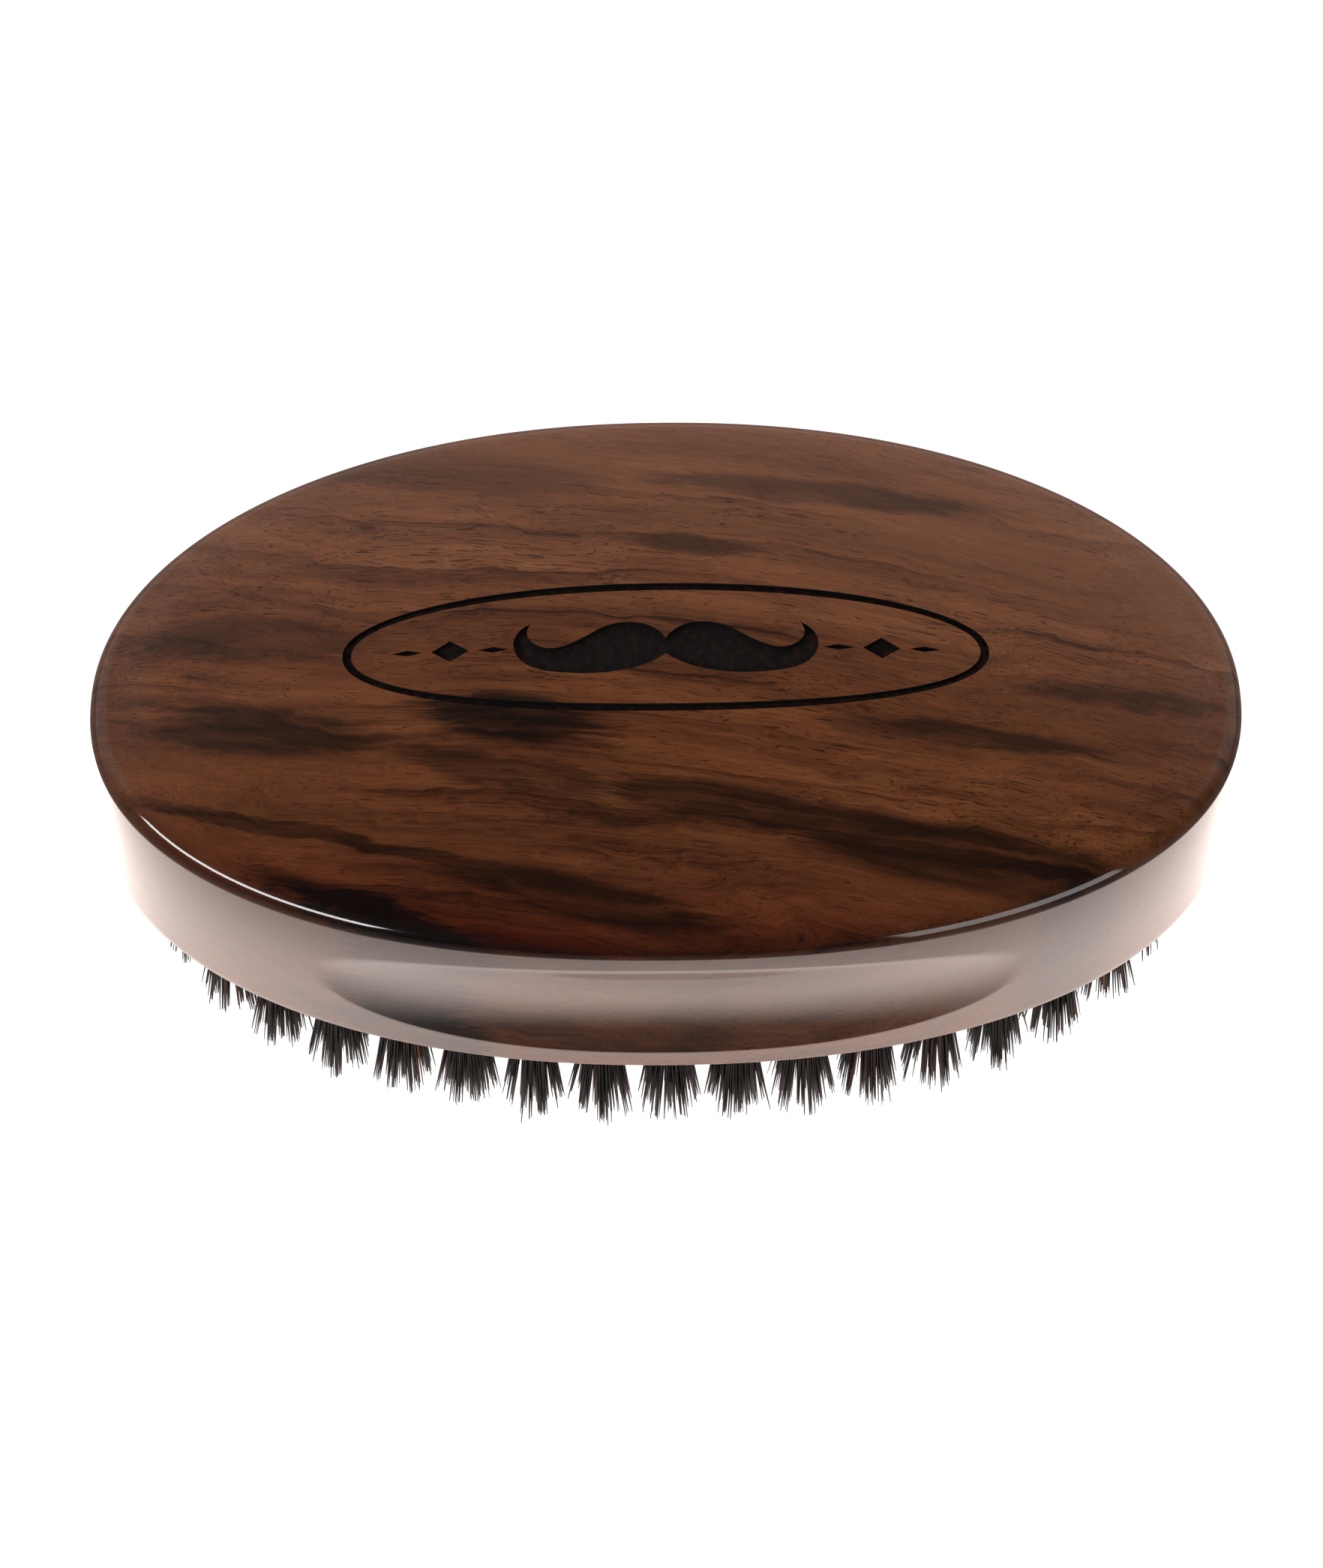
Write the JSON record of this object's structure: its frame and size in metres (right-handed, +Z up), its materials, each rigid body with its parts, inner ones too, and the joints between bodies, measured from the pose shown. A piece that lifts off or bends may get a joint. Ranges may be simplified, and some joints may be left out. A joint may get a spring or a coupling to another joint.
{
  "type": "beard brush",
  "caption": "Oval palm-held beard brush: walnut block with finger grooves along both long sides and an inlaid board of dark boar-bristle tufts.",
  "frame": {"origin": "under the middle of the brush, on the plane of the bristle tips that it stands on", "axes": "+Z up, from the bristle tips to the block's top; +X along the brush's length; +Y across it"},
  "size_m": [0.118, 0.0666, 0.0409],
  "materials": {
    "walnut": "dark walnut, clear gloss lacquer",
    "board_wood": "plain walnut, oiled",
    "boar_bristle": "natural dark boar bristle, trimmed",
    "steel_wire": "plain drawn wire"
  },
  "bodies": {
    "root": {"handle_block": "walnut", "bristle_board": "board_wood", "outer_draw_wire": "steel_wire", "centre_draw_wire": "steel_wire", "outer_tuft_01": "boar_bristle", "outer_tuft_02": "boar_bristle", "outer_tuft_03": "boar_bristle", "outer_tuft_04": "boar_bristle", "outer_tuft_05": "boar_bristle", "outer_tuft_06": "boar_bristle", "outer_tuft_07": "boar_bristle", "outer_tuft_08": "boar_bristle", "outer_tuft_09": "boar_bristle", "outer_tuft_10": "boar_bristle", "outer_tuft_11": "boar_bristle", "outer_tuft_12": "boar_bristle", "outer_tuft_13": "boar_bristle", "outer_tuft_14": "boar_bristle", "outer_tuft_15": "boar_bristle", "outer_tuft_16": "boar_bristle", "outer_tuft_17": "boar_bristle", "outer_tuft_18": "boar_bristle", "outer_tuft_19": "boar_bristle", "outer_tuft_20": "boar_bristle", "outer_tuft_21": "boar_bristle", "outer_tuft_22": "boar_bristle", "outer_tuft_23": "boar_bristle", "outer_tuft_24": "boar_bristle", "outer_tuft_25": "boar_bristle", "outer_tuft_26": "boar_bristle", "outer_tuft_27": "boar_bristle", "outer_tuft_28": "boar_bristle", "outer_tuft_29": "boar_bristle", "outer_tuft_30": "boar_bristle", "outer_tuft_31": "boar_bristle", "outer_tuft_32": "boar_bristle", "outer_tuft_33": "boar_bristle", "outer_tuft_34": "boar_bristle", "outer_tuft_35": "boar_bristle", "outer_tuft_36": "boar_bristle", "second_row_tufts": "boar_bristle", "third_row_tufts": "boar_bristle", "centre_tuft_01": "boar_bristle", "centre_tuft_02": "boar_bristle", "centre_tuft_03": "boar_bristle", "centre_tuft_04": "boar_bristle", "centre_tuft_05": "boar_bristle", "centre_tuft_06": "boar_bristle", "centre_tuft_07": "boar_bristle"}
  },
  "joints": []
}
